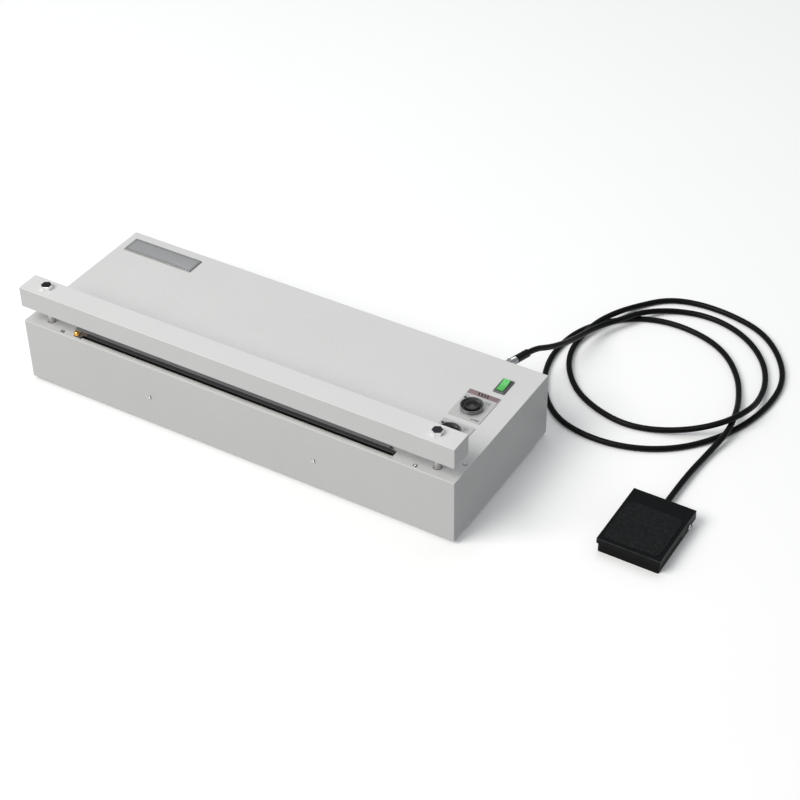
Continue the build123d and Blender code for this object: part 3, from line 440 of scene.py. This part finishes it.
# treadle pad: rubber grit with bright specks
s = Shader("grit_rubber", Specular_IOR_Level=0.18)
grit = s.remap(s.spots(1500), 0.05, 0.45, 1, 0)
glint = s.remap(s.noise(560, 2), 0.42, 0.62, 0, 1)
s.colour(s.blend(s.math("MULTIPLY", grit, glint), (0.0024, 0.0026, 0.0030), (0.062, 0.065, 0.068)))
s.rough(s.remap(glint, 0, 1, 0.62, 0.36))
s.bump(grit, 0.10 * MM)
grit_rubber = s.material

amber = moulded("amber_film", (0.16, 0.11, 0.09), 0.22, 0.36, 300, 0.006)
ink_dark = moulded("ink_dark", (0.007, 0.006, 0.007), 0.45, 0.58, 700, 0.004,
                   Specular_IOR_Level=0.2)
ink_mauve = moulded("ink_mauve", (0.26, 0.185, 0.195), 0.40, 0.52, 500, 0.004)

# ------------------------------------------------------------------ pieces in mesh code


def piece(name, points, faces, material, body, slot, smooth=True):
    """A mesh object made of points and faces, riding on a body."""
    mesh = bpy.data.meshes.new(name)
    mesh.from_pydata([tuple(p) for p in points], [], faces)
    mesh.validate()
    mesh.materials.append(material)
    for polygon in mesh.polygons:
        polygon.use_smooth = smooth
    thing = bpy.data.objects.new(name, mesh)
    scene.collection.objects.link(thing)
    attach(thing, body)
    return thing


def swept(rings, closed=False, caps=True):
    """Points and faces of a skin over equal rings of points."""
    count = len(rings[0])
    points = [p for ring in rings for p in ring]
    spans = len(rings) if closed else len(rings) - 1
    faces = []
    for i in range(spans):
        a, b = i * count, (i + 1) % len(rings) * count
        for j in range(count):
            k = (j + 1) % count
            faces.append((a + j, a + k, b + k, b + j))
    if caps and not closed:
        faces.append(tuple(reversed(range(count))))
        faces.append(tuple(range(len(points) - count, len(points))))
    return points, faces


def coil(start, direction, radius, wire, height, turns, steps=28, sides=10):
    """Points and faces of a round-wire spring whose end turns lie closed."""
    along = direction.normalized()
    across = along.orthogonal().normalized()
    third = along.cross(across)
    closed_rise = 1.9 * wire
    open_rise = (height - 2 * wire - 2 * closed_rise) / (turns - 2)

    def centre(t):
        rise = (min(t, 1) * closed_rise + max(0, min(t, turns - 1) - 1) * open_rise
                + max(0, t - turns + 1) * closed_rise)
        angle = 2 * math.pi * t
        outward = across * math.cos(angle) + third * math.sin(angle)
        return start + along * (wire + rise) + outward * radius, outward

    rings = []
    total = int(turns * steps)
    for step in range(total + 1):
        here, outward = centre(step / steps)
        ahead, _ = centre(step / steps + 0.01)
        side = (ahead - here).normalized().cross(outward)
        rings.append([here + (outward * math.cos(a) + side * math.sin(a)) * wire
                      for a in (2 * math.pi * k / sides for k in range(sides))])
    return swept(rings)


def rounded_slab(low, high, corner, edge, bevel=3, arc=6):
    """Points and faces of a flat slab with round corners and a rounded top edge."""
    rings = []
    levels = [(0.0, low.z), (0.0, high.z - edge)]
    for k in range(1, bevel + 1):
        a = math.pi / 2 * k / bevel
        levels.append((edge * (1 - math.cos(a)), high.z - edge + edge * math.sin(a)))
    for inset, z in levels:
        ring = []
        for quarter, (sx, sy) in enumerate(((1, 1), (-1, 1), (-1, -1), (1, -1))):
            cx = (high.x if sx > 0 else low.x) - sx * corner
            cy = (high.y if sy > 0 else low.y) - sy * corner
            for k in range(arc + 1):
                a = math.pi / 2 * (quarter + k / arc)
                r = max(corner - inset, 0.01 * MM)
                ring.append(Vector((cx + r * math.cos(a), cy + r * math.sin(a), z)))
        rings.append(ring)
    return swept(rings)


def stroke(points, width, height, base, closed=False):
    """Points and faces of a flat printed line of even width along points in a plane."""
    count = len(points)
    rings = []
    for i, p in enumerate(points):
        before = points[i - 1] if i or closed else p
        after = points[(i + 1) % count] if i < count - 1 or closed else p
        run = Vector((after[0] - before[0], after[1] - before[1])).normalized()
        off = Vector((-run.y, run.x)) * width / 2
        left, right = (p[0] + off.x, p[1] + off.y), (p[0] - off.x, p[1] - off.y)
        rings.append([Vector((*left, base)), Vector((*left, base + height)),
                      Vector((*right, base + height)), Vector((*right, base))])
    return swept(rings, closed)


def joined(parts):
    """Several (points, faces) pairs as one."""
    points, faces = [], []
    for more_points, more_faces in parts:
        start = len(points)
        points += more_points
        faces += [tuple(start + i for i in face) for face in more_faces]
    return points, faces


def arc_points(centre, radius, begin, end, count):
    """Points on an arc, angles in degrees."""
    return [(centre[0] + radius * math.cos(math.radians(begin + (end - begin) * i / count)),
             centre[1] + radius * math.sin(math.radians(begin + (end - begin) * i / count)))
            for i in range(count + 1)]


# springs: real wire in place of the CAD's ribbed sleeves
low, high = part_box("return_springs")
spring_r, spring_wire_r = 7.5 * MM, 0.9 * MM
for side, x in (("left", low.x + spring_r + spring_wire_r),
                ("right", high.x - spring_r - spring_wire_r)):
    base = Vector((x, (low.y + high.y) / 2, low.z))
    spring = piece("return_spring_" + side,
                   *coil(base, Vector((0, 0, 1)), spring_r, spring_wire_r, high.z - low.z, 9),
                   spring_wire, "machine", "satin_steel")
    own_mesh(spring)
    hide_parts("return_springs")

low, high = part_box("pedal_spring")
base = Vector(((low.x + high.x) / 2, (low.y + high.y) / 2, low.z))
spring = piece("treadle_spring",
               *coil(base, Vector((0, 0, 1)), 4.5 * MM, 0.6 * MM, high.z - low.z, 7),
               spring_wire, "machine", "satin_steel")
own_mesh(spring)
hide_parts("pedal_spring")

# bend-relief coil at the plug, in line with the cord's start
cord_start = Vector(CORD_ROUTE[0])
plug_way = (Vector(CORD_ROUTE[1]) - cord_start).normalized()
sleeve_length, relief_length = 25.5 * MM, 12.2 * MM
coil_start = cord_start - plug_way * (sleeve_length + relief_length)
relief = piece("plug_relief_coil",
               *coil(coil_start, plug_way, 4.4 * MM, 0.8 * MM, relief_length, 6.5),
               chrome, "machine", "chrome")
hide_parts("plug_spring")

# the cord itself, and a grommet where it enters the foot switch
foot_cord.data.materials.append(cord_jacket)
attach(foot_cord, "machine")
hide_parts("foot_cord")

pedal_end = Vector(CORD_ROUTE[-1])
grommet_profile = (      # along the cord, radius, in mm
    (0.0, 5.1), (0.7, 5.5), (2.2, 5.5), (3.4, 4.6), (3.8, 3.87))
rings = [[pedal_end + Vector((radius * MM * math.cos(a), along * MM, radius * MM * math.sin(a)))
          for a in (2 * math.pi * k / 32 for k in range(32))]
         for along, radius in grommet_profile]
piece("cord_grommet", *swept(rings), feet_rubber, "machine", "black_rubber")

# film rest: slanted ribs along its top
low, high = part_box("film_rest")
rib_pitch, rib_w, rib_h, slant = 2.5 * MM, 1.5 * MM, 0.32 * MM, 2.4 * MM
ribs = []
x = low.x + rib_pitch
while x < high.x - rib_pitch - slant:
    rings = []
    for y, shift in ((low.y + 0.3 * MM, 0.0), (high.y - 0.3 * MM, slant)):
        rings.append([Vector((x + shift + rib_w / 2 * math.cos(a), y,
                              high.z - 0.04 * MM + rib_h * math.sin(a)))
                      for a in (math.pi * k / 6 for k in range(7))])
    ribs.append(swept(rings))
    x += rib_pitch
piece("film_rest_ribs", *joined(ribs), white_plastic, "machine", "white_plastic")

# amber film over the band's left end
low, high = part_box("seal_bar")
cloth_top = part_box("ptfe_cover")[1].z
past_bar, over_bar, tape_inset = 6.4 * MM, 3.2 * MM, 0.2 * MM
tape_low = Vector((low.x - past_bar, low.y + tape_inset, cloth_top - 0.25 * MM))
tape_high = Vector((low.x + over_bar, high.y - tape_inset, cloth_top + 0.05 * MM))
piece("end_tape", *rounded_slab(tape_low, tape_high, 0.8 * MM, 0.1 * MM), amber, "machine",
      "brass")

# nameplate: a brushed face inside the darker rim, with a fine engraved frame
low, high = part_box("nameplate")
inset = 1.5 * MM
face_low = Vector((low.x + inset, low.y + inset, high.z - 0.02 * MM))
face_high = Vector((high.x - inset, high.y - inset, high.z + 0.10 * MM))
piece("nameplate_face", *rounded_slab(face_low, face_high, 1.0 * MM, 0.06 * MM), brushed_face,
      "machine", "plate_aluminium")
frame_in = 3.0 * MM
corners = [(low.x + frame_in, low.y + frame_in), (high.x - frame_in, low.y + frame_in),
           (high.x - frame_in, high.y - frame_in), (low.x + frame_in, high.y - frame_in)]
edges = []
for a, b in zip(corners, corners[1:] + corners[:1]):
    edges.append(stroke([a, b], 0.35 * MM, 0.03 * MM, face_high.z - 0.005 * MM))
piece("nameplate_frame_line", *joined(edges), ink_dark, "machine", "plate_aluminium", False)

# dial plates: header band, off dot with its arrow tail, circled dot, rising bars, small dashes
def dot(centre, radius, base, height):
    """Points and faces of a printed dot."""
    outline = arc_points(centre, radius, 0, 345, 23)
    return swept([[Vector((*p, base)) for p in outline],
                  [Vector((*p, base + height)) for p in outline]])


ink = 0.05 * MM
for dial in ("heat", "seal"):
    low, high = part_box(dial + "_dial_plate")
    axis = middle(dial + "_knob")
    top = high.z
    marks = []
    if dial == "heat":
        band = rounded_slab(Vector((low.x + 0.5 * MM, high.y - 8.6 * MM, top - 0.02 * MM)),
                            Vector((high.x - 0.5 * MM, high.y - 0.5 * MM, top + ink)),
                            0.5 * MM, 0.02 * MM)
        piece("heat_header_band", *band, ink_mauve, "machine", "dial_aluminium")
        for k in range(4):      # rising waves, the usual sign for heat
            wave_x = axis.x + (3.9 * k - 5.0) * MM
            wave_points = [(wave_x + 0.8 * MM * math.sin(t * math.pi / 6),
                            high.y + (0.49 * t - 7.6) * MM) for t in range(13)]
            marks.append(stroke(wave_points, 1.35 * MM, ink, top + ink))
    off_dot = (axis.x - 16.6 * MM, axis.y + 14.1 * MM)
    marks.append(dot(off_dot, 1.7 * MM, top, ink))
    tail = arc_points(axis, 20.5 * MM, 139, 126, 8)
    marks.append(stroke(tail, 0.55 * MM, ink, top))
    on_dot = (axis.x + 13.7 * MM, axis.y + 15.6 * MM)
    marks.append(stroke(arc_points(on_dot, 2.7 * MM, 0, 345, 23), 0.35 * MM, ink, top, True))
    marks.append(dot(on_dot, 0.8 * MM, top, ink))
    for k in range(7):          # rising bars in place of a word
        x, y = axis.x + (8.9 + 1.55 * k) * MM, axis.y - 18.9 * MM
        marks.append(stroke([(x, y), (x, y + (1.1 + 0.22 * k) * MM)], 1.0 * MM, ink, top))
    for x, y in ((-17.5, 17.6), (-15.9, 17.9), (-14.3, 17.4), (8.0, 17.2), (9.5, 17.7)):
        start = (axis.x + x * MM, axis.y + y * MM)
        marks.append(stroke([start, (start[0] + 1.1 * MM, start[1])], 0.5 * MM, ink, top))
    piece(dial + "_dial_marks", *joined(marks), ink_dark, "machine", "dial_aluminium", False)

# treadle pad: a gritty sheet with real relief in place of the plain CAD slab
low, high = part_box("treadle_pad")
corner, cell = 7 * MM, 0.55 * MM
half_x, half_y = (high.x - low.x) / 2, (high.y - low.y) / 2
centre = (low + high) / 2
nx, ny = int(2 * half_x / cell), int(2 * half_y / cell)


def on_pad(u, v):
    """A grid point moved so that the sheet's square corners become round."""
    dx, dy = abs(u) - (half_x - corner), abs(v) - (half_y - corner)
    if dx > 0 and dy > 0:
        shrink = max(dx, dy) / math.hypot(dx, dy)
        u = math.copysign(half_x - corner + dx * shrink, u)
        v = math.copysign(half_y - corner + dy * shrink, v)
    return u, v


pad_points, pad_faces = [], []
for j in range(ny + 1):
    for i in range(nx + 1):
        u, v = -half_x + 2 * half_x * i / nx, -half_y + 2 * half_y * j / ny
        edge = i in (0, nx) or j in (0, ny)
        u, v = on_pad(u, v)
        grain = noise.noise(Vector((u, v, 0)) * 900) + 0.6 * noise.noise(Vector((u, v, 5)) * 2100)
        lift = -0.28 * MM if edge else 0.09 * MM * grain - 0.02 * MM
        pad_points.append(Vector((centre.x + u, centre.y + v, high.z + lift)))
for j in range(ny):
    for i in range(nx):
        a = j * (nx + 1) + i
        pad_faces.append((a, a + 1, a + nx + 2, a + nx + 1))
rim = ([i for i in range(nx + 1)] + [j * (nx + 1) + nx for j in range(1, ny + 1)]
       + [ny * (nx + 1) + i for i in range(nx - 1, -1, -1)]
       + [j * (nx + 1) for j in range(ny - 1, 0, -1)])
first = len(pad_points)
for i in rim:
    p = pad_points[i]
    pad_points.append(Vector((p.x, p.y, low.z)))
for k in range(len(rim)):
    n = (k + 1) % len(rim)
    pad_faces.append((rim[n], rim[k], first + k, first + n))
pad_faces.append(tuple(range(len(pad_points) - 1, first - 1, -1)))
grip = piece("treadle_grip", pad_points, pad_faces, grit_rubber, "foot_treadle", "black_rubber")
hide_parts("treadle_pad")

# ------------------------------------------------------------------ floor and light

floor_mesh = bpy.data.meshes.new("floor")
floor_mesh.from_pydata([(-6, -6, 0), (6, -6, 0), (6, 6, 0), (-6, 6, 0)], [], [(0, 1, 2, 3)])
s = Shader("floor_paper", Specular_IOR_Level=0.15, Emission_Strength=0.07)
s.bsdf.inputs["Emission Color"].default_value = (1, 1, 1, 1)
s.colour(s.blend(s.noise(3, 3), (0.965, 0.965, 0.965), (0.985, 0.985, 0.985)))
s.rough(s.remap(s.noise(40, 2), 0.3, 0.7, 0.82, 0.92))
floor_mesh.materials.append(s.material)
floor = bpy.data.objects.new("floor", floor_mesh)
floor.visible_diffuse = False       # the paper's bounce would flatten the shaded side
scene.collection.objects.link(floor)

world = bpy.data.worlds.new("studio")
world.use_nodes = True
sky = world.node_tree.nodes["Background"]
sky.inputs["Color"].default_value = (0.95, 0.98, 1.0, 1)
sky.inputs["Strength"].default_value = 0.33
scene.world = world


def softbox(name, toward, distance, size, power, rgb=(1, 1, 1)):
    """A square area light looking at the middle of the object from a direction."""
    data = bpy.data.lights.new(name, "AREA")
    data.size, data.energy, data.color = size, power, rgb
    lamp = bpy.data.objects.new(name, data)
    aim = Vector((0, 0, 0.05))
    direction = Vector(toward).normalized()
    lamp.location = aim + direction * distance
    lamp.rotation_euler = direction.to_track_quat("Z", "Y").to_euler()
    scene.collection.objects.link(lamp)


softbox("key", (-0.45, -0.72, 0.92), 5.0, 3.0, 207, (1.0, 0.985, 0.955))
softbox("top", (-0.1, 0.5, 1.2), 3.2, 2.0, 19, (0.93, 0.97, 1.0))
